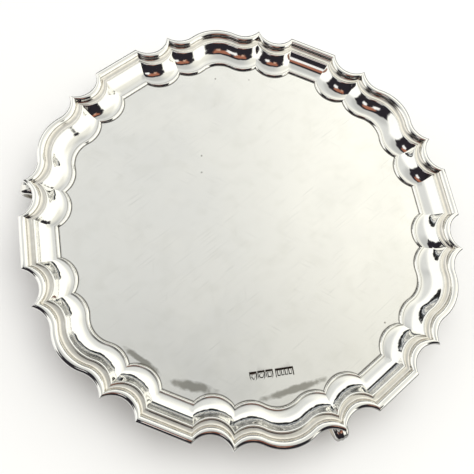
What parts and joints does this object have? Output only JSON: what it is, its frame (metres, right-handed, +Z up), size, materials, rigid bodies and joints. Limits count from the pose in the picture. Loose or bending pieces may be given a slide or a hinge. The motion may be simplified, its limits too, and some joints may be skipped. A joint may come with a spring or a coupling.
{
  "type": "salver",
  "caption": "Round silver salver: a flat plate in a raised, scalloped pie-crust border with stepped mouldings, standing on scroll feet.",
  "frame": {"origin": "middle of the base, on the plane that the soles of the feet stand on, below the plate's centre", "axes": "+Z up, square to the plate; +Y out through the middle of a bracket of the border; +X out through the middle of a side"},
  "size_m": [0.2044, 0.2067, 0.0244],
  "materials": {
    "plate_silver": "satin silver with fine scratches",
    "border_silver": "polished silver, tarnish in the grooves",
    "foot_silver": "polished cast silver",
    "pad_silver": "satin silver"
  },
  "bodies": {
    "root": {"plate": "plate_silver", "border_bracket_1": "border_silver", "border_side_1": "border_silver", "border_bracket_2": "border_silver", "border_side_2": "border_silver", "border_bracket_3": "border_silver", "border_side_3": "border_silver", "border_bracket_4": "border_silver", "border_side_4": "border_silver", "border_bracket_5": "border_silver", "border_side_5": "border_silver", "border_bracket_6": "border_silver", "border_side_6": "border_silver", "foot_pad_1": "pad_silver", "foot_1": "foot_silver", "foot_pad_2": "pad_silver", "foot_2": "foot_silver", "foot_pad_3": "pad_silver", "foot_3": "foot_silver"}
  },
  "joints": []
}
